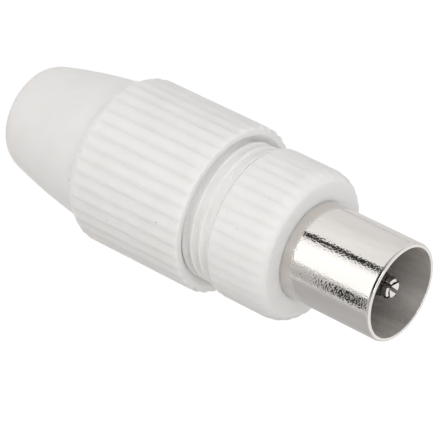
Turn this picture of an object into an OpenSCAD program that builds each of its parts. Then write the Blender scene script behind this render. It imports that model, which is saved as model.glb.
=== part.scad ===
// Screw-on aerial plug with a plain metal barrel, a split centre pin and a two-piece plastic housing.
// It stands on its cable end. The axis is Z, and the mouth of the barrel points up.

/* [Barrel] */
// Outer diameter of the mating barrel
barrel_d = 9.5; // [9:0.05:10]
// Thickness of the drawn metal
barrel_wall = 0.4; // [0.3:0.05:0.5]
// Length of barrel in front of the sleeve
barrel_l = 9.96; // [8:0.01:14]
// Bevel outside the barrel's mouth
barrel_bevel = 0.2; // [0.1:0.02:0.22]
// Width of the flat between the mouth's outer and inner bevels
mouth_land = 0.15; // [0.05:0.01:0.17]
// Outer diameter of the rolled neck that the sleeve's lip fills
neck_d = 9.14; // [8.9:0.02:9.16]
// Outer diameter of the shell behind the neck
shell_d = 10; // [9.8:0.05:10.2]
// Outer diameter of the shell's rear flange
flange_d = 12.2; // [11.6:0.1:12.4]
// Thickness of the rear flange
flange_t = 0.5; // [0.4:0.05:0.8]
// Diameter of the driver hole over the terminal screw
driver_hole_d = 3.6; // [3.4:0.1:4]

/* [Centre pin] */
// Diameter of the mating pin
pin_d = 2.4; // [2.2:0.05:2.6]
// Depth of the pin's tip under the barrel's mouth
pin_drop = 0.75; // [0.4:0.05:2]
// Length of the tapered nose
nose_l = 1.75; // [1:0.05:2.5]
// Diameter of the nose at its tip
nose_tip_d = 1.44; // [1.3:0.02:1.6]
// Diameter of the countersink in the tip
countersink_d = 1.2; // [0.8:0.05:1.25]
// Width of the cross slots that split the nose
slot_w = 0.26; // [0.2:0.02:0.42]
// Length of the cross slots
slot_l = 5.5; // [4:0.1:5.6]
// Diameter of the pin inside the insulator
pin_seat_d = 2.8; // [2.7:0.05:3]
// Diameter of the screw terminal
terminal_d = 4.6; // [4:0.1:5]
// Length of the screw terminal
terminal_l = 6; // [5:0.1:7]
// Bore for the cable's inner conductor
conductor_d = 1.3; // [1:0.05:1.5]

/* [Terminal screw] */
// Diameter of the screw's shank
screw_d = 2; // [1.6:0.1:2.4]
// Diameter of the screw's head
screw_head_d = 3; // [2.6:0.1:3.2]
// Height of the screw's head
screw_head_h = 1; // [0.8:0.1:1.3]
// Width of the driver slot
screw_slot_w = 0.5; // [0.3:0.05:0.6]

/* [Insulator] */
// Length of the insulating bush
insulator_l = 3.6; // [2.5:0.1:4.5]
// Diameter of the collar in front of the bush
insulator_collar_d = 5; // [4:0.1:6]
// Height of the collar
insulator_collar_h = 0.8; // [0.4:0.1:1.5]

/* [Front sleeve] */
// Diameter over the sleeve's ribs
head_d = 14.72; // [14.6:0.02:15.6]
// Length of the ribbed head
head_l = 6.47; // [5:0.1:9]
// Number of ribs on the head
head_ribs = 38; // [30:1:46]
// Radial size of the rounded front shoulder
shoulder_r = 0.9; // [0.5:0.05:1.2]
// Length of the rounded front shoulder
shoulder_l = 1.55; // [0.8:0.05:2]
// Thickness of the lip that grips the shell's neck
head_lip = 1.3; // [1:0.1:2]
// Chamfer at the rear end of the ribs
head_chamfer = 0.27; // [0.1:0.02:0.4]
// Length of the threaded spigot behind the head
spigot_l = 9; // [7:0.5:10]

/* [Rear cap] */
// Diameter over the cap's ribs
collar_d = 16.44; // [16.2:0.02:17.4]
// Length of the ribbed collar
collar_l = 13.47; // [12.5:0.01:18]
// Number of ribs on the collar
collar_ribs = 38; // [30:1:46]
// Radial size of the rounded front rim
rim_round_r = 0.55; // [0.3:0.05:1.1]
// Length of the rounded front rim
rim_round_l = 0.55; // [0.3:0.05:1.2]
// Depth and radial size of the chamfer inside the rim
lead_in = 0.45; // [0.2:0.05:0.5]
// Diameter of the step where the collar meets the tail
step_d = 15.26; // [14.8:0.02:15.6]
// Length of the chamfer at that step
step_l = 1.04; // [0.5:0.05:2]
// Length of the smooth tail
tail_l = 10.95; // [9:0.05:14]
// Diameter of the tail at the collar
tail_d = 14.26; // [13.8:0.02:14.6]
// Diameter of the tail's side carried on to its end
tail_end_d = 9.98; // [9.6:0.02:11.4]
// How far the tail's side swells from a straight taper
tail_swell = 0.25; // [0:0.01:0.4]
// Height at which the side starts to round into the end face
tail_round_l = 1.62; // [1:0.02:2]
// Diameter of the flat end face
tail_face_d = 8.4; // [8:0.1:9]
// Wall around the cavity at the tail's end
tail_wall = 1.4; // [1:0.1:1.6]
// Thickness of the end wall around the cable
end_wall = 2.5; // [2:0.1:3.5]
// Diameter of the cable entry
cable_d = 7.2; // [6.6:0.1:7.3]
// Chamfer at the edge of the cable entry
cable_chamfer = 0.2; // [0.1:0.05:0.3]

/* [Grip] */
// Depth of the grooves between the ribs
rib_depth = 0.18; // [0.1:0.02:0.4]

/* [Thread] */
// Pitch of the housing's thread
thread_pitch = 1; // [0.9:0.05:1.2]
// Outer diameter of the thread on the sleeve
thread_d = 13.7; // [13.5:0.02:13.8]
// Height of the thread's ridge
thread_h = 0.5; // [0.4:0.02:0.55]
// Width of the ridge at its crest
thread_crest = 0.22; // [0.15:0.01:0.28]
// Width of the ridge at its root
thread_base = 0.62; // [0.5:0.02:0.66]
// Flat steps in one turn of the thread
thread_steps = 32; // [24:4:40]
// Angle round the axis at which a ridge crosses each whole pitch
thread_start = -90; // [-180:15:180]
// Turns that the cap is unscrewed
turns_open = 2.7; // [1:0.1:4]
// Gap between the cap and the sleeve's head when the cap is tight
tight_gap = 0.1; // [0.05:0.01:0.3]
// Depth of the plain bore under the cap's thread
thread_relief = 0.7; // [0.5:0.1:1.2]

/* [Braid clamp] */
// Outer diameter of the clamp's ring
clamp_d = 12.4; // [12:0.1:12.6]
// Thickness of the clamp's sheet
clamp_t = 0.6; // [0.4:0.05:0.8]
// Number of clamp fingers
fingers = 6; // [4:1:8]
// Length of the fingers
finger_l = 6.5; // [4:0.1:8]
// Width of the slots between the fingers
finger_gap = 1.6; // [1:0.1:2]
// Height of the inward teeth at the fingers' tips
tooth_h = 0.6; // [0.4:0.05:1]
// Width of the cap's ledge that carries the clamp
ledge_w = 0.8; // [0.6:0.05:1]

/* [Fits] */
// Radial gap between the mating threads
thread_gap = 0.12; // [0.1:0.01:0.15]
// Radial gap around pieces that are pressed in
press_gap = 0.03; // [0.02:0.01:0.05]
// Gap around the clamp inside the cap
clamp_gap = 0.15; // [0.1:0.01:0.25]
// Gap between the clamp's fingers and the cap's cone
finger_clear = 0.3; // [0.2:0.02:0.4]

/* [Hidden] */
$fn = 72;

plastic_white = [0.93, 0.93, 0.92];
insulator_white = [0.88, 0.88, 0.84];
nickel = [0.76, 0.74, 0.71];
steel = [0.62, 0.62, 0.63];
// Straight steps in a rounded profile
arc_steps = 10;
// How far a cutter runs past the face that it opens
past = 1;

// Heights along the axis, from the tail's end to the mouth
z_collar = tail_l;
z_rim = z_collar + collar_l;
travel_in = turns_open * thread_pitch;
z_head = z_rim + travel_in + tight_gap;
z_face = z_head + head_l;
z_mouth = z_face + barrel_l;
z_lip = z_face - head_lip;
z_spigot = z_head - spigot_l;
z_flange = z_spigot - flange_t;
z_clamp_top = z_flange - travel_in - clamp_gap;
z_ledge = z_clamp_top - clamp_t;
z_bush = z_lip - barrel_wall;
z_terminal = z_bush - insulator_l;
z_tip = z_mouth - pin_drop;
z_screw = z_terminal - terminal_l / 2;

// Radii that several pieces share
barrel_r = barrel_d / 2;
bore_r = barrel_r - barrel_wall;
neck_r = neck_d / 2;
shell_r = shell_d / 2;
shell_bore_r = shell_r - barrel_wall;
thread_r = thread_d / 2;
relief_r = thread_r + thread_gap + press_gap;
pocket_r = clamp_d / 2 + clamp_gap;
cone_top_r = pocket_r - ledge_w;
cone_end_r = tail_r(end_wall) - tail_wall;

// Radius of the tail's side at a height, and how fast it grows there
function tail_r(z) =
    let (t = z / tail_l) (tail_end_d + (tail_d - tail_end_d) * t) / 2 + 4 * tail_swell * t * (1 - t);
function tail_slope(z) = ((tail_d - tail_end_d) / 2 + 4 * tail_swell * (1 - 2 * z / tail_l)) / tail_l;

// Radius of the cap's inner cone at a height
function cone_r(z) =
    cone_end_r + (cone_top_r - cone_end_r) * (z - end_wall) / (z_ledge - end_wall);

// Quarter of an ellipse round [r, z], from its outermost point to its end on the axis side
function quarter(r, z, size_r, size_z) =
    [for (i = [0 : arc_steps])
        [r + size_r * cos(90 * i / arc_steps), z + size_z * sin(90 * i / arc_steps)]];

// Bar with round ribs that meet in sharp grooves
module ribbed_bar(crest_r, ribs, length) {
    groove_r = crest_r - rib_depth;
    rib_at = (crest_r ^ 2 - groove_r ^ 2) / (2 * (crest_r - groove_r * cos(180 / ribs)));
    linear_extrude(length) {
        circle(r = rib_at);
        for (i = [0 : ribs - 1])
            rotate(360 * i / ribs) translate([rib_at, 0]) circle(r = crest_r - rib_at);
    }
}

// Right-hand threaded rod. Each row of corners runs along the helix, and a fan closes each end.
module threaded_rod(root_r, crest_r, crest_w, base_w, low, high) {
    corners = [
        [root_r, -base_w / 2],
        [crest_r, -crest_w / 2],
        [crest_r, crest_w / 2],
        [root_r, base_w / 2],
    ];
    per_turn = len(corners);
    first_turn = floor(low / thread_pitch) - 2;
    last_row = per_turn * (ceil(high / thread_pitch) + 2 - first_turn);
    last = thread_steps - 1;
    points = [
        for (row = [0 : last_row], step = [0 : last])
            let (corner = corners[row % per_turn])
            let (turn = first_turn + floor(row / per_turn) + step / thread_steps)
            [corner[0] * cos(360 * turn), corner[0] * sin(360 * turn), turn * thread_pitch + corner[1]],
        [0, 0, (first_turn - 1) * thread_pitch],
        [0, 0, (first_turn + last_row / per_turn + 2) * thread_pitch],
    ];
    low_end = len(points) - 2;
    high_end = len(points) - 1;
    function at(row, step) = step > last ? (row + per_turn) * thread_steps : row * thread_steps + step;
    sides = [
        for (step = [0 : last], row = [0 : last_row - 1 - (step == last ? per_turn : 0)])
            each [
                [at(row, step), at(row + 1, step), at(row + 1, step + 1)],
                [at(row, step), at(row + 1, step + 1), at(row, step + 1)],
            ],
    ];
    low_fan = concat(
        [for (step = [0 : last]) [at(0, step), at(0, step + 1), low_end]],
        [for (row = [0 : per_turn - 1]) [at(row + 1, 0), at(row, 0), low_end]]
    );
    high_fan = concat(
        [for (step = [0 : last - 1]) [at(last_row, step + 1), at(last_row, step), high_end]],
        [[at(last_row - per_turn, last + 1), at(last_row - per_turn, last), high_end]],
        [for (row = [last_row - per_turn : last_row - 1]) [at(row, last), at(row + 1, last), high_end]]
    );
    intersection() {
        rotate(thread_start) polyhedron(points, concat(sides, low_fan, high_fan));
        translate([0, 0, low]) cylinder(r = 2 * crest_r, h = high - low);
    }
}

// Outside of the tail, run on a little way into the collar. A parabola joins the end face and the side.
module tail_outside() {
    face_edge = [tail_face_d / 2, 0];
    side_end = [tail_r(tail_round_l), tail_round_l];
    corner = [side_end[0] - tail_slope(tail_round_l) * tail_round_l, 0];
    rounding = [
        for (i = [0 : arc_steps])
            let (t = i / arc_steps) (1 - t) ^ 2 * face_edge + 2 * t * (1 - t) * corner + t ^ 2 * side_end
    ];
    side = [
        for (i = [1 : arc_steps])
            let (z = tail_round_l + (tail_l - tail_round_l) * i / arc_steps) [tail_r(z), z]
    ];
    rotate_extrude()
        polygon(concat([[0, 0]], rounding, side, [[tail_d / 2, tail_l + step_l], [0, tail_l + step_l]]));
}

// Ribbed collar, chamfered at the step and rounded at its rim
module collar_outside() {
    crest_r = collar_d / 2;
    intersection() {
        translate([0, 0, z_collar]) ribbed_bar(crest_r, collar_ribs, collar_l);
        rotate_extrude()
            polygon(concat(
                [
                    [0, z_collar - past],
                    [step_d / 2, z_collar - past],
                    [step_d / 2, z_collar],
                    [crest_r + press_gap, z_collar + step_l],
                    [crest_r + press_gap, z_rim - rim_round_l],
                ],
                quarter(crest_r - rim_round_r, z_rim - rim_round_l, rim_round_r, rim_round_l),
                [[0, z_rim]]
            ));
    }
}

// Hollow of the cap, from the cable entry up to the plain bore under the thread
module cap_hollow() {
    z_relief = z_clamp_top;
    entry_r = cable_d / 2;
    rotate_extrude()
        polygon([
            [0, -past],
            [entry_r + cable_chamfer + past, -past],
            [entry_r, cable_chamfer],
            [entry_r, end_wall],
            [cone_end_r, end_wall],
            [cone_top_r, z_ledge],
            [pocket_r, z_ledge],
            [pocket_r, z_relief],
            [relief_r, z_relief],
            [relief_r, z_relief + clamp_gap + thread_relief],
            [0, z_relief + clamp_gap + thread_relief],
        ]);
}

module rear_cap() {
    cut_w = 2 * thread_gap * (1 - (thread_base - thread_crest) / (2 * thread_h));
    color(plastic_white)
        difference() {
            union() {
                tail_outside();
                collar_outside();
            }
            cap_hollow();
            threaded_rod(
                thread_r - thread_h + thread_gap, thread_r + thread_gap,
                thread_crest + cut_w, thread_base + cut_w,
                z_clamp_top + clamp_gap + thread_relief / 2, z_rim + past
            );
            translate([0, 0, z_rim - lead_in])
                cylinder(r1 = relief_r, r2 = relief_r + lead_in + past, h = lead_in + past);
        }
}

// Ring with spring fingers that follow the cap's cone and end in teeth
module braid_clamp() {
    z_tips = z_ledge - finger_l;
    ring_r = clamp_d / 2;
    top_r = cone_r(z_ledge) - finger_clear;
    tip_r = cone_r(z_tips) - finger_clear;
    tooth_r = (cable_d / 2 + tip_r - clamp_t) / 2;
    color(nickel)
        difference() {
            rotate_extrude()
                polygon([
                    [top_r - clamp_t, z_clamp_top],
                    [ring_r, z_clamp_top],
                    [ring_r, z_ledge],
                    [top_r, z_ledge],
                    [tip_r, z_tips],
                    [tooth_r, z_tips],
                    [tooth_r, z_tips + tooth_h / 2],
                    [tip_r - clamp_t, z_tips + tooth_h],
                ]);
            for (i = [0 : fingers - 1])
                rotate(360 * i / fingers)
                    translate([0, -finger_gap / 2, z_tips - past])
                        cube([ring_r, finger_gap, finger_l - clamp_t + past]);
        }
}

// Ribbed head, rounded in front and chamfered behind
module head_outside() {
    crest_r = head_d / 2;
    intersection() {
        translate([0, 0, z_head]) ribbed_bar(crest_r, head_ribs, head_l);
        rotate_extrude()
            polygon(concat(
                [
                    [0, z_head - past],
                    [crest_r - head_chamfer - past, z_head - past],
                    [crest_r - head_chamfer, z_head],
                    [crest_r + press_gap, z_head + head_chamfer + press_gap],
                    [crest_r + press_gap, z_face - shoulder_l],
                ],
                quarter(crest_r - shoulder_r, z_face - shoulder_l, shoulder_r, shoulder_l),
                [[0, z_face]]
            ));
    }
}

module front_sleeve() {
    color(plastic_white)
        difference() {
            union() {
                head_outside();
                threaded_rod(
                    thread_r - thread_h, thread_r,
                    thread_crest, thread_base,
                    z_spigot, z_head + head_chamfer
                );
            }
            translate([0, 0, z_spigot - past])
                cylinder(r = shell_r + press_gap, h = z_lip - z_spigot + past);
            translate([0, 0, z_lip - past])
                cylinder(r = neck_r + press_gap, h = head_lip + 2 * past);
        }
}

// Drawn shell: mating barrel, rolled neck, wider rear part and rear flange
module outer_contact() {
    neck_bore_r = neck_r - barrel_wall;
    land_r = barrel_r - barrel_bevel;
    chamfer = barrel_wall - barrel_bevel - mouth_land;
    color(nickel)
        difference() {
            rotate_extrude()
                polygon([
                    [shell_bore_r, z_flange],
                    [flange_d / 2, z_flange],
                    [flange_d / 2, z_spigot],
                    [shell_r, z_spigot],
                    [shell_r, z_lip],
                    [neck_r, z_lip],
                    [neck_r, z_face],
                    [barrel_r, z_face],
                    [barrel_r, z_mouth - barrel_bevel],
                    [land_r, z_mouth],
                    [land_r - mouth_land, z_mouth],
                    [bore_r, z_mouth - chamfer],
                    [bore_r, z_face + barrel_wall],
                    [neck_bore_r, z_face + barrel_wall],
                    [neck_bore_r, z_bush],
                    [shell_bore_r, z_bush],
                ]);
            translate([0, 0, z_screw]) rotate([0, 90, 0]) cylinder(d = driver_hole_d, h = flange_d);
        }
}

// Bush that seats on the shell's inner shoulder, with a collar round the pin
module insulator() {
    color(insulator_white)
        difference() {
            union() {
                translate([0, 0, z_terminal]) cylinder(r = shell_bore_r - press_gap, h = insulator_l);
                translate([0, 0, z_bush]) cylinder(d = insulator_collar_d, h = insulator_collar_h);
            }
            translate([0, 0, z_terminal - past])
                cylinder(r = pin_seat_d / 2 + press_gap, h = insulator_l + insulator_collar_h + 2 * past);
        }
}

// Split pin with a tapered and countersunk nose, a seat in the insulator and a screw terminal behind it
module centre_pin() {
    pin_r = pin_d / 2;
    z_pin = z_bush + insulator_collar_h;
    color(nickel)
        difference() {
            rotate_extrude()
                polygon([
                    [0, z_terminal - terminal_l],
                    [terminal_d / 2, z_terminal - terminal_l],
                    [terminal_d / 2, z_terminal],
                    [pin_seat_d / 2, z_terminal],
                    [pin_seat_d / 2, z_pin],
                    [pin_r, z_pin],
                    [pin_r, z_tip - nose_l],
                    [nose_tip_d / 2, z_tip],
                    [countersink_d / 2, z_tip],
                    [0, z_tip - countersink_d / 2],
                ]);
            for (turn = [0, 90])
                rotate(turn)
                    translate([-pin_d, -slot_w / 2, z_tip - slot_l])
                        cube([2 * pin_d, slot_w, slot_l + past]);
            translate([0, 0, z_terminal - terminal_l - past])
                cylinder(d = conductor_d, h = terminal_l + past);
            translate([0, 0, z_screw])
                rotate([0, 90, 0])
                    cylinder(d = screw_d + 2 * press_gap, h = terminal_d);
        }
}

// Slotted screw across the terminal, which presses on the conductor
module terminal_screw() {
    head_x = terminal_d / 2;
    color(steel)
        translate([0, 0, z_screw])
            rotate([0, 90, 0])
                difference() {
                    union() {
                        translate([0, 0, conductor_d / 2])
                            cylinder(d = screw_d, h = head_x - conductor_d / 2);
                        translate([0, 0, head_x])
                            cylinder(d = screw_head_d, h = screw_head_h);
                    }
                    translate([-screw_head_d, -screw_slot_w / 2, head_x + screw_head_h / 2])
                        cube([2 * screw_head_d, screw_slot_w, screw_head_h]);
                }
}

rear_cap();
braid_clamp();
front_sleeve();
outer_contact();
insulator();
centre_pin();
terminal_screw();
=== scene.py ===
import math

import bpy
import numpy as np
from mathutils import Matrix, Vector


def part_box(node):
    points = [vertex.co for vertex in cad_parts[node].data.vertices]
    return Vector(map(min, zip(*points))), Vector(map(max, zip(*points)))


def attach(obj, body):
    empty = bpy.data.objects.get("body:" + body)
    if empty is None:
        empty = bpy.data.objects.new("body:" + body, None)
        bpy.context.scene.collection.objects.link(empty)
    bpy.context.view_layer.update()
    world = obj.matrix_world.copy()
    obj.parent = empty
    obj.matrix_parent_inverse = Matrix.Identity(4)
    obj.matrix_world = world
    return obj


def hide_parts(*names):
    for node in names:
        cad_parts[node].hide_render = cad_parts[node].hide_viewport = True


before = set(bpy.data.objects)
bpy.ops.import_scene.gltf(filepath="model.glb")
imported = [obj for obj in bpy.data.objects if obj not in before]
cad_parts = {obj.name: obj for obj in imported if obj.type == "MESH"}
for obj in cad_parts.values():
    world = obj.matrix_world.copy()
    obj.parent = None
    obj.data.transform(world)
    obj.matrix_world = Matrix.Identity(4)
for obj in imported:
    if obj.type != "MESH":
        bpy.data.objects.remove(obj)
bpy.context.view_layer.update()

# Sizes are in millimetres, as in the part's source, and meshes are scaled to metres.
MM = 0.001
RIBS = 38
STEPS = RIBS * 12
ANGLES = np.arange(STEPS) * 2 * math.pi / STEPS
SHARP_EDGE = math.radians(38)

# Rows of the ring meshes: their spacing along a thread, their spacing where the thread shows and how far
# below the cap's rim that starts, their distance from an edge, and their number in each kind of form
THREAD_ROW = 0.1
SHOWN_ROW = 0.035
SHOWN_BELOW_RIM = 1.0
EDGE_ROW = 0.03
ROUND_ROWS = 20
STEP_ROWS = 24
CHAMFER_ROWS = 8
BORE_EDGE_ROWS = 7
FLAT_ROWS = 3
TAIL_ROUND_ROWS = 18
TAIL_ROWS = 16

# Tail and collar of the rear cap
TAIL_FACE_R = 4.2
TAIL_END_R = 4.99
TAIL_R = 7.13
TAIL_SWELL = 0.25
TAIL_ROUND = 1.62
STEP_R = 7.63
STEP_L = 1.04
STEP_ROUND = 0.05
STEP_OVER = 0.03  # how far the step's slope runs on past the ribs' crests
COLLAR_R = 8.22
COLLAR_L = 13.47
RIM_ROUND_R = 0.28
RIM_ROUND_L = 0.3
LEAD_IN = 0.45
LEAD_IN_EASE = 0.02
END_WALL = 2.5
ENTRY_R = 3.6
ENTRY_CHAMFER = 0.2
CONE_LOW_R = 4.257
CONE_HIGH_R = 5.55
POCKET_R = 6.35
RELIEF_R = 7.0
RELIEF_L = 0.7
COLLAR_RIB = 0.3
COLLAR_RUN_ON = 8  # how late the grooves end round the rim
COLLAR_FLAT_IN = (0.4, 0.2)  # from the step and the rim to the rows of the straight ribs
GROOVE_END = 85  # degrees round an edge
RIB_SOFTEN = 0.76  # share of the ribs' tilt that the shading leaves out
CLAMP_T = 0.6
CLAMP_GAP = 0.15

# Front sleeve and the thread
HEAD_R = 7.36
HEAD_L = 6.47
HEAD_CHAMFER = 0.27
HEAD_ROUND = 0.06
HEAD_EASE = 0.04
HEAD_PAST = 0.15  # how far the chamfer's rows run on along the ribs
HEAD_RIB = 0.2
HEAD_RUN_ON = 4
HEAD_FLAT_IN = (0.8, 0.4)
HEAD_MARGIN = 0.05  # from the head's rear face to the thread's own material
SHOULDER_R = 0.9
SHOULDER_L = 1.55
HEAD_LIP = 1.3
PITCH = 1.0
THREAD_START = math.radians(-54)
THREAD_R = 6.85
THREAD_H = 0.5
THREAD_CREST = 0.22
THREAD_BASE = 0.62
THREAD_GAP = 0.06
NUT_WIDER = 0.144  # how much wider the cap's grooves are than the sleeve's ridges
LIP_R = 4.6
LIP_EASE = 0.03
SLEEVE_BORE_R = 5.03

# Metal shell and the other metal pieces
BARREL_R = 4.75
BORE_R = 4.35
NECK_R = 4.57
NECK_BORE_R = 4.17
SHELL_R = 5.0
SHELL_BORE_R = 4.6
FLANGE_R = 6.1
WALL = 0.4
MOUTH_TAPER_R = 0.05
MOUTH_TAPER_L = 0.12
MOUTH_ROUND_R = 0.15
MOUTH_ROUND_L = 0.16
MOUTH_ROUND_FROM = 20  # degrees, after the row that ends the taper
MOUTH_CHAMFER = 0.05
DRIVER_HOLE_R = 1.8
CAD_EDGE = 0.03
PIN_EDGE = 0.12
NOSE_L = 0.65
NOSE_FACING = 0.5  # least upward part of the normal of a bright face
NOSE_WIDER = 1.3
NOSE_LOWER = 0.1
NOSE_EDGE_R = 0.66
NOSE_EDGE_DROP = 0.15
SLOTS_L = 6
SLOTS_TURN = math.radians(-8)

# Looks and stage. Most noise lies between its low and its high.
NOISE_LOW = 0.3
NOISE_HIGH = 0.7
WHITE_PLASTIC = ((0.885, 0.872, 0.86), (0.915, 0.905, 0.895))
SATIN = (0.45, 0.6)
PANEL_GLOW = 1.5
FLOOR_DROP = 0.02
PART_MIDDLE = Vector((0, 0, 0.022))
HEAD_MIDDLE = Vector((0, 0, 0.03))

# Camera: its lens and sensor, the directions towards it, to its right and up, the height over the head's
# face of the point on the axis that it was fitted to, and its place from there: right, up and back
LENS = 260.85
SENSOR = 36
TO_CAMERA = Vector((0, -0.8518, 0.5239))
CAMERA_RIGHT = Vector((-0.4441, 0.4694, 0.7632))
CAMERA_UP = Vector((-0.896, -0.2327, -0.3783))
AIM_OVER_FACE = 9.76
CAMERA_OFFSET = (-15.878, 6.406, 280.589)


def low_end(node):
    """Height of a node's lower end, in millimetres."""
    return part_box(node)[0][2] / MM


def high_end(node):
    """Height of a node's upper end, in millimetres."""
    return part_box(node)[1][2] / MM


# Heights along the axis, from the frame
Z_RIM = high_end("rear_cap")
Z_COLLAR = Z_RIM - COLLAR_L
Z_CLAMP = high_end("braid_clamp")
Z_LEDGE = Z_CLAMP - CLAMP_T
Z_SPIGOT = low_end("front_sleeve")
Z_FACE = high_end("front_sleeve")
Z_HEAD = Z_FACE - HEAD_L
Z_LIP = Z_FACE - HEAD_LIP
Z_BUSH = Z_LIP - WALL
Z_FLANGE = low_end("outer_contact")
Z_MOUTH = high_end("outer_contact")
Z_TIP = high_end("centre_pin")
Z_SCREW = (low_end("terminal_screw") + high_end("terminal_screw")) / 2


def soft_min(a, b, width):
    """The lower of two radii, with a round edge where they cross."""
    share = np.clip(0.5 + 0.5 * (b - a) / width, 0, 1)
    return b + (a - b) * share - width * share * (1 - share)


def ribbed_round(ribs, crest, size_r, low, size_z, run_on):
    """Rows of a ribbed edge that rounds in to an end face. The higher run_on, the later the grooves end."""
    grooves = crest - ribs
    rows = []
    for turn in np.linspace(0, 90, ROUND_ROWS):
        radius = crest - size_r + size_r * math.cos(math.radians(turn))
        depth = max(0, 1 - (turn / GROOVE_END) ** run_on)
        rows.append((radius - depth * grooves, low + size_z * math.sin(math.radians(turn))))
    return rows


def rib_radius(crest, depth):
    """Radius at each step around a ring of round ribs, with the grooves' bottoms eased."""
    half = math.pi / RIBS
    offset = ((ANGLES + half) % (2 * half) - half) / half
    radius = crest - depth * offset**2
    return (np.roll(radius, 1) + 2 * radius + np.roll(radius, -1)) / 4


def thread_radius(z, root, crest, crest_w, base_w):
    """Radius at each step around a right-hand thread at a height."""
    lead = z / PITCH - (ANGLES - THREAD_START) / (2 * math.pi)
    offset = np.abs(lead - np.round(lead)) * PITCH
    rise = np.clip((base_w / 2 - offset) / ((base_w - crest_w) / 2), 0, 1)
    return root + (crest - root) * rise**2 * (3 - 2 * rise)


def soften_ribs(mesh):
    """Takes part of the tilt round the axis out of the shading, as light that spreads in the plastic does."""
    normals = np.array([corner.vector for corner in mesh.corner_normals])
    points = np.array([vertex.co for vertex in mesh.vertices])
    corners = np.array([loop.vertex_index for loop in mesh.loops])
    round_axis = np.cross((0, 0, 1), points[corners] * (1, 1, 0))
    round_axis /= np.linalg.norm(round_axis, axis=1)[:, None]
    tilt = np.sum(normals * round_axis, axis=1)[:, None] * round_axis
    softer = normals - RIB_SOFTEN * tilt
    mesh.normals_split_custom_set((softer / np.linalg.norm(softer, axis=1)[:, None]).tolist())


def ring_piece(name, rows):
    """Piece with a hole through it, from rows of (radius, height) that close on themselves."""
    radius = np.array([np.broadcast_to(r, STEPS) for r, z in rows])
    height = np.array([np.broadcast_to(z, STEPS) for r, z in rows])
    points = np.stack([radius * np.cos(ANGLES), radius * np.sin(ANGLES), height], axis=-1) * MM
    row, step = np.meshgrid(np.arange(len(rows)), np.arange(STEPS), indexing="ij")
    next_row, next_step = (row + 1) % len(rows), (step + 1) % STEPS
    corners = [(row, step), (row, next_step), (next_row, next_step), (next_row, step)]
    faces = np.stack([r * STEPS + s for r, s in corners], axis=-1).reshape(-1, 4)
    mesh = bpy.data.meshes.new(name)
    mesh.from_pydata(points.reshape(-1, 3).tolist(), [], faces.tolist())
    mesh.shade_smooth()
    mesh.set_sharp_from_angle(angle=SHARP_EDGE)
    piece = bpy.data.objects.new(name, mesh)
    bpy.context.scene.collection.objects.link(piece)
    return piece


def tail_radius(z):
    """Radius of the tail's slightly swollen cone at a height."""
    t = z / Z_COLLAR
    return TAIL_END_R + (TAIL_R - TAIL_END_R) * t + 4 * TAIL_SWELL * t * (1 - t)


def cap_rows():
    """Rear cap: up the outside from the end face to the rim, then down the inside."""
    nudge = 0.01
    slope = (tail_radius(TAIL_ROUND + nudge) - tail_radius(TAIL_ROUND - nudge)) / (2 * nudge)
    edge = np.array([TAIL_FACE_R, 0])
    side = np.array([tail_radius(TAIL_ROUND), TAIL_ROUND])
    corner = np.array([side[0] - slope * TAIL_ROUND, 0])
    rows = [(ENTRY_R + ENTRY_CHAMFER, 0)]
    for t in np.linspace(0, 1, TAIL_ROUND_ROWS):
        rows.append(tuple((1 - t) ** 2 * edge + 2 * t * (1 - t) * corner + t**2 * side))
    rows += [(tail_radius(z), z) for z in np.linspace(TAIL_ROUND, Z_COLLAR, TAIL_ROWS)[1:]]

    # The collar's ribs are turned by half a rib from the head's.
    ribs = np.roll(rib_radius(COLLAR_R, COLLAR_RIB), STEPS // RIBS // 2)
    chamfer_end = Z_COLLAR + STEP_L
    round_start = Z_RIM - RIM_ROUND_L
    rows += [(STEP_R - STEP_ROUND, Z_COLLAR)]
    for z in np.linspace(Z_COLLAR + EDGE_ROW, chamfer_end + 2 * STEP_ROUND, STEP_ROWS):
        limit = STEP_R + (COLLAR_R + STEP_OVER - STEP_R) * (z - Z_COLLAR) / STEP_L
        rows.append((soft_min(ribs, limit, STEP_ROUND), z))
    flat = (chamfer_end + COLLAR_FLAT_IN[0], round_start - COLLAR_FLAT_IN[1])
    rows += [(ribs, z) for z in np.linspace(*flat, FLAT_ROWS)]
    rows += ribbed_round(ribs, COLLAR_R, RIM_ROUND_R, round_start, RIM_ROUND_L, COLLAR_RUN_ON)

    def nut_radius(z):
        """Radius of the cap's thread, which clears the sleeve's by the same gap all over."""
        root, crest = THREAD_R - THREAD_H + THREAD_GAP, THREAD_R + THREAD_GAP
        return thread_radius(z, root, crest, THREAD_CREST + NUT_WIDER, THREAD_BASE + NUT_WIDER)

    thread_low = Z_CLAMP + CLAMP_GAP + RELIEF_L
    thread_high = Z_RIM - LEAD_IN
    rows += [
        (RELIEF_R + LEAD_IN + EDGE_ROW, Z_RIM),
        (RELIEF_R + LEAD_IN - LEAD_IN_EASE, Z_RIM - LEAD_IN_EASE),
        (RELIEF_R, thread_high),
    ]
    rows += [(nut_radius(z), z) for z in np.arange(thread_high - LEAD_IN_EASE, thread_low, -THREAD_ROW)]
    rows += [
        (RELIEF_R, thread_low),
        (RELIEF_R, Z_CLAMP),
        (POCKET_R, Z_CLAMP),
        (POCKET_R, Z_LEDGE),
        (CONE_HIGH_R, Z_LEDGE),
        (CONE_LOW_R, END_WALL),
        (ENTRY_R, END_WALL),
        (ENTRY_R, ENTRY_CHAMFER),
    ]
    return rows


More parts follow.
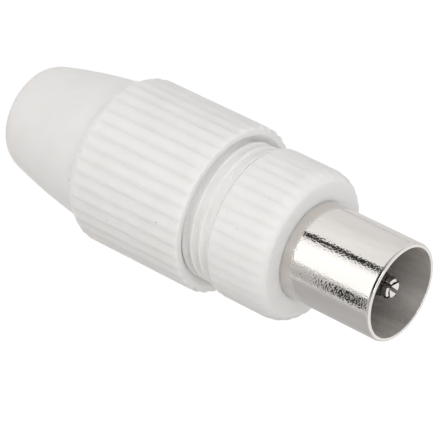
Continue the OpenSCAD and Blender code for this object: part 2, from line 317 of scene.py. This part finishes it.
def sleeve_rows():
    """Front sleeve: up the thread and the ribbed head to the face, then down the bore."""
    rows = [(SLEEVE_BORE_R, Z_SPIGOT)]
    shown_low = Z_RIM - SHOWN_BELOW_RIM
    for z in [*np.arange(Z_SPIGOT, shown_low, THREAD_ROW), *np.arange(shown_low, Z_HEAD, SHOWN_ROW)]:
        rows.append((thread_radius(z, THREAD_R - THREAD_H, THREAD_R, THREAD_CREST, THREAD_BASE), z))

    ribs = rib_radius(HEAD_R, HEAD_RIB)
    chamfer_r = HEAD_R - HEAD_CHAMFER
    round_start = Z_FACE - SHOULDER_L
    rows += [(soft_min(ribs, chamfer_r - HEAD_EASE, HEAD_ROUND), Z_HEAD)]
    for z in np.linspace(Z_HEAD + EDGE_ROW, Z_HEAD + HEAD_CHAMFER + HEAD_PAST, CHAMFER_ROWS):
        rows.append((soft_min(ribs, chamfer_r + (z - Z_HEAD), HEAD_ROUND), z))
    flat = (Z_HEAD + HEAD_FLAT_IN[0], round_start - HEAD_FLAT_IN[1])
    rows += [(ribs, z) for z in np.linspace(*flat, FLAT_ROWS)]
    rows += ribbed_round(ribs, HEAD_R, SHOULDER_R, round_start, SHOULDER_L, HEAD_RUN_ON)
    rows += [
        (LIP_R + LIP_EASE, Z_FACE),
        (LIP_R, Z_FACE - LIP_EASE),
        (LIP_R, Z_LIP),
        (SLEEVE_BORE_R, Z_LIP),
    ]
    return rows


def shell_rows():
    """Metal shell: up the outside from the flange to the mouth, then down the bore."""
    rows = [
        (SHELL_BORE_R, Z_FLANGE),
        (FLANGE_R, Z_FLANGE),
        (FLANGE_R, Z_SPIGOT),
        (SHELL_R, Z_SPIGOT),
        (SHELL_R, Z_LIP),
        (NECK_R, Z_LIP),
        (NECK_R, Z_FACE),
        (BARREL_R, Z_FACE),
    ]
    taper_end = Z_MOUTH - MOUTH_ROUND_L
    taper_start = taper_end - MOUTH_TAPER_L
    taper_r = BARREL_R - MOUTH_TAPER_R
    rows += [(BARREL_R, taper_start - EDGE_ROW), (BARREL_R, taper_start), (taper_r, taper_end)]
    for turn in np.radians(np.linspace(MOUTH_ROUND_FROM, 90, CHAMFER_ROWS)):
        radius = taper_r - MOUTH_ROUND_R * (1 - math.cos(turn))
        rows.append((radius, taper_end + MOUTH_ROUND_L * math.sin(turn)))
    for turn in np.radians(np.linspace(0, 90, BORE_EDGE_ROWS)):
        radius = BORE_R + MOUTH_CHAMFER * (1 - math.sin(turn))
        rows.append((radius, Z_MOUTH - MOUTH_CHAMFER * (1 - math.cos(turn))))
    rows += [
        (BORE_R, Z_FACE + WALL),
        (NECK_BORE_R, Z_FACE + WALL),
        (NECK_BORE_R, Z_BUSH),
        (SHELL_BORE_R, Z_BUSH),
    ]
    return rows


def cut_driver_hole(shell):
    """Round hole in the shell's side, over the terminal screw."""
    bpy.ops.mesh.primitive_cylinder_add(
        vertices=48, radius=DRIVER_HOLE_R * MM, depth=FLANGE_R * MM,
        location=(FLANGE_R / 2 * MM, 0, Z_SCREW * MM), rotation=(0, math.pi / 2, 0),
    )
    cutter = bpy.context.object
    cut = shell.modifiers.new("driver_hole", "BOOLEAN")
    cut.object = cutter
    bpy.context.view_layer.update()
    bpy.context.view_layer.objects.active = shell
    bpy.ops.object.modifier_apply(modifier=cut.name)
    bpy.data.objects.remove(cutter)


def new_material(name):
    """Material with nodes, with its tree and its main shader."""
    material = bpy.data.materials.new(name)
    material.use_nodes = True
    return material, material.node_tree, material.node_tree.nodes["Principled BSDF"]


def noise(tree, scale, detail=2.0, stretch=(1, 1, 1)):
    """Noise in the part's own coordinates. The scale is in grains per metre, about."""
    coordinates = tree.nodes.new("ShaderNodeTexCoord")
    mapping = tree.nodes.new("ShaderNodeMapping")
    mapping.inputs["Scale"].default_value = stretch
    texture = tree.nodes.new("ShaderNodeTexNoise")
    texture.inputs["Scale"].default_value = scale
    texture.inputs["Detail"].default_value = detail
    tree.links.new(coordinates.outputs["Object"], mapping.inputs["Vector"])
    tree.links.new(mapping.outputs["Vector"], texture.inputs["Vector"])
    return texture.outputs["Fac"]


def ramp(tree, value, stops):
    """Colours along a value, from (position, colour) pairs."""
    node = tree.nodes.new("ShaderNodeValToRGB")
    elements = node.color_ramp.elements
    while len(elements) < len(stops):
        elements.new(0.5)
    for element, (position, colour) in zip(elements, stops):
        element.position = position
        element.color = (*colour, 1)
    tree.links.new(value, node.inputs["Fac"])
    return node.outputs["Color"]


def between(tree, value, low, high):
    """The noise's middle range spread from low to high."""
    node = tree.nodes.new("ShaderNodeMapRange")
    node.inputs["From Min"].default_value = NOISE_LOW
    node.inputs["From Max"].default_value = NOISE_HIGH
    node.inputs["To Min"].default_value = low
    node.inputs["To Max"].default_value = high
    tree.links.new(value, node.inputs["Value"])
    return node.outputs["Result"]


def multiply(tree, first, second):
    """Product of two colours."""
    node = tree.nodes.new("ShaderNodeMix")
    node.data_type = "RGBA"
    node.blend_type = "MULTIPLY"
    node.inputs["Factor"].default_value = 1
    tree.links.new(first, node.inputs["A"])
    tree.links.new(second, node.inputs["B"])
    return node.outputs["Result"]


def bump(tree, height, distance, under=None):
    """Relief of the given depth in metres, on top of another relief if there is one."""
    node = tree.nodes.new("ShaderNodeBump")
    node.inputs["Strength"].default_value = 1
    node.inputs["Distance"].default_value = distance
    tree.links.new(height, node.inputs["Height"])
    if under:
        tree.links.new(under, node.inputs["Normal"])
    return node.outputs["Normal"]


def moulded_plastic(name, dark, light, roughness, translucent=1.0):
    """Slightly translucent moulding with a fine satin skin, faint clouding and a few dark specks."""
    material, tree, shader = new_material(name)
    clouds = ramp(tree, noise(tree, 420), [(NOISE_LOW, dark), (NOISE_HIGH, light)])
    specks = ramp(tree, noise(tree, 3600, 0), [(0.1, (0.5, 0.47, 0.45)), (0.125, (1, 1, 1))])
    tree.links.new(multiply(tree, clouds, specks), shader.inputs["Base Color"])
    tree.links.new(between(tree, noise(tree, 1500), *roughness), shader.inputs["Roughness"])
    skin = bump(tree, noise(tree, 9000, 3), 0.000004)
    tree.links.new(bump(tree, noise(tree, 700), 0.00002, skin), shader.inputs["Normal"])
    shader.inputs["Subsurface Weight"].default_value = translucent
    shader.inputs["Subsurface Radius"].default_value = (1.0, 0.93, 0.9)
    shader.inputs["Subsurface Scale"].default_value = 0.0008
    shader.inputs["IOR"].default_value = 1.46
    shader.inputs["Specular IOR Level"].default_value = 0.3
    return material


def plated_metal(name, dark, light, roughness, grain, streak):
    """Bright plate over drawn metal: fine grain that breaks up reflections, and streaks along the axis."""
    material, tree, shader = new_material(name)
    tone = ramp(tree, noise(tree, 900, 4, (1, 1, 0.15)), [(NOISE_LOW, dark), (NOISE_HIGH, light)])
    tree.links.new(tone, shader.inputs["Base Color"])
    tree.links.new(between(tree, noise(tree, 5000, 3), *roughness), shader.inputs["Roughness"])
    fine = bump(tree, noise(tree, 6000, 0), grain)
    drawn = bump(tree, noise(tree, 3200, 3, (1, 1, 0.04)), streak, fine)
    tree.links.new(drawn, shader.inputs["Normal"])
    shader.inputs["Metallic"].default_value = 1
    return material


def dress(piece, materials):
    """Gives a piece its materials in place of those it has."""
    piece.data.materials.clear()
    for material in materials:
        piece.data.materials.append(material)


def ease_edges(piece, size, segments=2):
    """Welds a piece from the frame and rounds its edges a little."""
    weld = piece.modifiers.new("weld", "WELD")
    weld.merge_threshold = 1e-6
    edges = piece.modifiers.new("edges", "BEVEL")
    edges.width = size * MM
    edges.segments = segments
    edges.limit_method = "ANGLE"
    edges.angle_limit = math.radians(35)
    edges.harden_normals = True


def put_on(piece, body):
    """Puts a piece on a body."""
    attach(piece, body)


def white_for_camera(material_or_world, other):
    """Mix of the other shader with one to be linked, which camera, glossy and transmission rays see."""
    tree = material_or_world.node_tree
    path = tree.nodes.new("ShaderNodeLightPath")
    seen = tree.nodes.new("ShaderNodeMath")
    seen.operation = "MAXIMUM"
    either = tree.nodes.new("ShaderNodeMath")
    either.operation = "MAXIMUM"
    tree.links.new(path.outputs["Is Camera Ray"], seen.inputs[0])
    tree.links.new(path.outputs["Is Glossy Ray"], seen.inputs[1])
    tree.links.new(seen.outputs[0], either.inputs[0])
    tree.links.new(path.outputs["Is Transmission Ray"], either.inputs[1])
    mix = tree.nodes.new("ShaderNodeMixShader")
    tree.links.new(either.outputs[0], mix.inputs["Fac"])
    tree.links.new(other, mix.inputs[1])
    return mix


def make_world(strength, shade_side):
    """Even light that is weaker and warmer from one side. The camera and reflections see white."""
    world = bpy.data.worlds.new("studio")
    world.use_nodes = True
    tree = world.node_tree
    light = tree.nodes["Background"]
    light.inputs["Strength"].default_value = strength
    coordinates = tree.nodes.new("ShaderNodeTexCoord")
    aim = tree.nodes.new("ShaderNodeVectorMath")
    aim.operation = "DOT_PRODUCT"
    aim.inputs[1].default_value = shade_side
    tree.links.new(coordinates.outputs["Generated"], aim.inputs[0])
    shade = ramp(tree, aim.outputs["Value"], [(0.1, (1, 1, 0.995)), (0.8, (0.61, 0.58, 0.56))])
    tree.links.new(shade, light.inputs["Color"])
    white = tree.nodes.new("ShaderNodeBackground")
    white.inputs["Color"].default_value = (1, 1, 1, 1)
    mix = white_for_camera(world, light.outputs[0])
    tree.links.new(white.outputs[0], mix.inputs[2])
    tree.links.new(mix.outputs[0], tree.nodes["World Output"].inputs["Surface"])
    bpy.context.scene.world = world


def make_floor():
    """Large pale floor that shows white, and keeps a faint shadow of the part."""
    bpy.ops.mesh.primitive_plane_add(size=3, location=(0, 0, -FLOOR_DROP * MM))
    floor = bpy.context.object
    floor.name = "floor"
    material, tree, shader = new_material("floor_white")
    shader.inputs["Base Color"].default_value = (0.9, 0.895, 0.885, 1)
    shader.inputs["Roughness"].default_value = 0.8
    glow = tree.nodes.new("ShaderNodeEmission")
    glow.inputs["Strength"].default_value = 0.82
    lit = tree.nodes.new("ShaderNodeBsdfDiffuse")
    lit.inputs["Color"].default_value = (0.3, 0.3, 0.3, 1)
    both = tree.nodes.new("ShaderNodeAddShader")
    tree.links.new(glow.outputs[0], both.inputs[0])
    tree.links.new(lit.outputs[0], both.inputs[1])
    mix = white_for_camera(material, shader.outputs[0])
    tree.links.new(both.outputs[0], mix.inputs[2])
    tree.links.new(mix.outputs[0], tree.nodes["Material Output"].inputs["Surface"])
    floor.data.materials.append(material)


def only_reflected(panel, tones):
    """Gives a studio panel its tones, from (azimuth in degrees, tone) pairs. Only reflections show it."""
    material = bpy.data.materials.new(panel.name)
    material.use_nodes = True
    tree = material.node_tree
    tree.nodes.remove(tree.nodes["Principled BSDF"])
    coordinates = tree.nodes.new("ShaderNodeTexCoord")
    around = tree.nodes.new("ShaderNodeTexGradient")
    around.gradient_type = "RADIAL"
    tree.links.new(coordinates.outputs["Object"], around.inputs["Vector"])
    glow = tree.nodes.new("ShaderNodeEmission")
    glow.inputs["Strength"].default_value = PANEL_GLOW
    stops = [((azimuth + 180) / 360, (tone / PANEL_GLOW,) * 3) for azimuth, tone in tones]
    tree.links.new(ramp(tree, around.outputs["Fac"], stops), glow.inputs["Color"])
    tree.links.new(glow.outputs[0], tree.nodes["Material Output"].inputs["Surface"])
    panel.data.materials.append(material)
    panel.visible_camera = False
    panel.visible_diffuse = False
    panel.visible_shadow = False
    panel.visible_transmission = False


def make_ring(name, radius, low, high, tones):
    """Ring of pale, white, grey and dark panels round the part, for the metal to reflect."""
    bpy.ops.mesh.primitive_cylinder_add(
        vertices=128, radius=radius * MM, depth=(high - low) * MM, end_fill_type="NOTHING",
        location=(0, 0, (low + high) / 2 * MM),
    )
    ring = bpy.context.object
    ring.name = name
    only_reflected(ring, tones)


def make_card(name, azimuth, radius, width, low, high, tone):
    """Small upright card that faces the part's axis."""
    turn = math.radians(azimuth)
    place = Vector((radius * math.cos(turn), radius * math.sin(turn), (low + high) / 2)) * MM
    bpy.ops.mesh.primitive_plane_add(size=MM, location=place, rotation=(math.pi / 2, 0, turn + math.pi / 2))
    card = bpy.context.object
    card.name = name
    card.scale = (width, high - low, 1)
    only_reflected(card, [(-180, tone), (180, tone)])


def make_disc(name, direction, distance, radius, tone):
    """Disc that faces the part's head from afar, such as the dark room behind the camera."""
    place = HEAD_MIDDLE + Vector(direction).normalized() * distance
    bpy.ops.mesh.primitive_circle_add(
        vertices=48, radius=radius, fill_type="NGON", location=place,
        rotation=Vector(direction).to_track_quat("Z", "Y").to_euler(),
    )
    disc = bpy.context.object
    disc.name = name
    only_reflected(disc, [(-180, tone), (180, tone)])


def make_light(name, direction, distance, size, power):
    """Square soft light that faces the part's middle."""
    lamp = bpy.data.lights.new(name, "AREA")
    lamp.size = size
    lamp.energy = power
    light = bpy.data.objects.new(name, lamp)
    light.location = PART_MIDDLE + Vector(direction).normalized() * distance
    light.rotation_euler = (light.location - PART_MIDDLE).to_track_quat("Z", "Y").to_euler()
    bpy.context.scene.collection.objects.link(light)


def make_camera():
    """Camera at the photograph's angle: 31.6 degrees above the side, rolled so that the tail is up left."""
    axes = Matrix((CAMERA_RIGHT, CAMERA_UP, TO_CAMERA)).transposed()
    place = (Vector((0, 0, Z_FACE + AIM_OVER_FACE)) + axes @ Vector(CAMERA_OFFSET)) * MM
    data = bpy.data.cameras.new("camera")
    data.sensor_width = SENSOR
    data.lens = LENS
    data.clip_start = 0.01
    camera = bpy.data.objects.new("camera", data)
    camera.matrix_world = Matrix.Translation(place) @ axes.to_4x4()
    bpy.context.scene.collection.objects.link(camera)
    bpy.context.scene.camera = camera


# Materials
housing = moulded_plastic("housing_plastic", *WHITE_PLASTIC, SATIN)
thread_plastic = moulded_plastic("thread_plastic", *WHITE_PLASTIC, SATIN, translucent=0.5)
bush = moulded_plastic("insulator_plastic", (0.7, 0.69, 0.65), (0.78, 0.77, 0.73), SATIN)
nickel = plated_metal("nickel_plate", (0.69, 0.66, 0.63), (0.77, 0.735, 0.705), (0.03, 0.08), 11e-6, 3e-6)
bore_metal = plated_metal("nickel_bore", (0.6, 0.575, 0.55), (0.8, 0.765, 0.735), (0.52, 0.64), 6e-6, 20e-6)
# Pin's sides: the same plate made far darker, as painted shade for the dark bore they reflect
pin_painted_shade_metal = plated_metal("nickel_painted_shade", (0.14, 0.13, 0.12), (0.2, 0.19, 0.18), (0.15, 0.25), 1e-6, 2e-6)
rim_metal = plated_metal("nickel_rim", (0.72, 0.7, 0.67), (0.8, 0.77, 0.74), (0.04, 0.08), 1e-6, 1e-6)
steel = plated_metal("screw_steel", (0.5, 0.5, 0.51), (0.62, 0.62, 0.63), (0.25, 0.4), 4e-6, 2e-6)

# Pieces. Faces inside the cap and on the sleeve's thread have the thread's plastic.
cap = ring_piece("rear_cap_skin", cap_rows())
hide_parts("rear_cap")
put_on(cap, "cap")
soften_ribs(cap.data)
dress(cap, [housing, thread_plastic])
for face in cap.data.polygons:
    middle = face.center / MM
    face.material_index = int(middle.z > Z_LEDGE and middle.xy.length < RELIEF_R + LEAD_IN)

sleeve = ring_piece("front_sleeve_skin", sleeve_rows())
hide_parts("front_sleeve")
put_on(sleeve, "front")
soften_ribs(sleeve.data)
dress(sleeve, [housing, thread_plastic])
for face in sleeve.data.polygons:
    face.material_index = int(face.center.z < (Z_HEAD - HEAD_MARGIN) * MM)

shell = ring_piece("outer_contact_skin", shell_rows())
cut_driver_hole(shell)
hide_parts("outer_contact")
put_on(shell, "front")
dress(shell, [nickel, bore_metal, rim_metal])
for face in shell.data.polygons:
    middle = face.center / MM
    if middle.z > Z_MOUTH - MOUTH_ROUND_L - MOUTH_TAPER_L:
        face.material_index = 2
    elif middle.xy.length < BORE_R + EDGE_ROW:
        face.material_index = 1

for node, material in [("braid_clamp", nickel), ("insulator", bush), ("terminal_screw", steel)]:
    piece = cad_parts[node]
    dress(piece, [material])
    ease_edges(piece, CAD_EDGE)

# The pin is its own solid with rounder edges and a wider nose. The upward faces of its nose keep the bright
# plate. Its sides get a far darker plate, which is painted shade for the dark bore they face.
pin = bpy.data.objects.new("centre_pin_skin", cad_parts["centre_pin"].data.copy())
bpy.context.scene.collection.objects.link(pin)
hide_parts("centre_pin")
put_on(pin, "front")
dress(pin, [pin_painted_shade_metal, rim_metal])
# Faces that turn up on the nose keep the bright plate; all other faces get the painted shade
for face in pin.data.polygons:
    face.material_index = int(face.normal.z > NOSE_FACING and face.center.z > (Z_TIP - NOSE_L) * MM)
turn_slots = Matrix.Rotation(SLOTS_TURN, 3, "Z")
for vertex in pin.data.vertices:
    if vertex.co.z > (Z_TIP - SLOTS_L) * MM:
        vertex.co.rotate(turn_slots)
    if vertex.co.z > (Z_TIP - NOSE_L) * MM:
        on_edge = vertex.co.xy.length > NOSE_EDGE_R * MM
        vertex.co *= Vector((NOSE_WIDER, NOSE_WIDER, 1))
        vertex.co.z -= (NOSE_LOWER + NOSE_EDGE_DROP * on_edge) * MM
ease_edges(pin, PIN_EDGE, 4)

# Stage
make_world(0.65, (1, 0.1, 0))
make_floor()
make_light("key", TO_CAMERA, 0.4, 0.3, 0.52)
make_ring("panel_ring", 45, 0, 45, [
    (-180, 0.9),
    (-120, 1.1),
    (-115.5, 0.03),
    (-110, 0.03),
    (-102, 1.2),
    (-90, 1.45),
    (-56, 1.45),
    (-48, 0.75),
    (-24, 0.55),
    (-17, 0.8),
    (-11, 0.56),
    (60, 0.54),
    (126, 0.8),
    (137, 0.85),
    (142, 0.62),
    (147, 0.85),
    (180, 0.9),
])
make_ring("dark_horizon", 44, 39, 58, [
    (-180, 0.7),
    (-130, 0.5),
    (-105, 0.04),
    (-75, 0.04),
    (-50, 0.5),
    (0, 0.7),
    (180, 0.7),
])
make_card("dark_card", -33.5, 43, 17.5, 17.7, 22.5, 0.03)
make_disc("dark_room", (0, -0.5, 0.82), 0.3, 0.07, 0.03)
make_camera()

bpy.context.scene.view_settings.view_transform = "Standard"
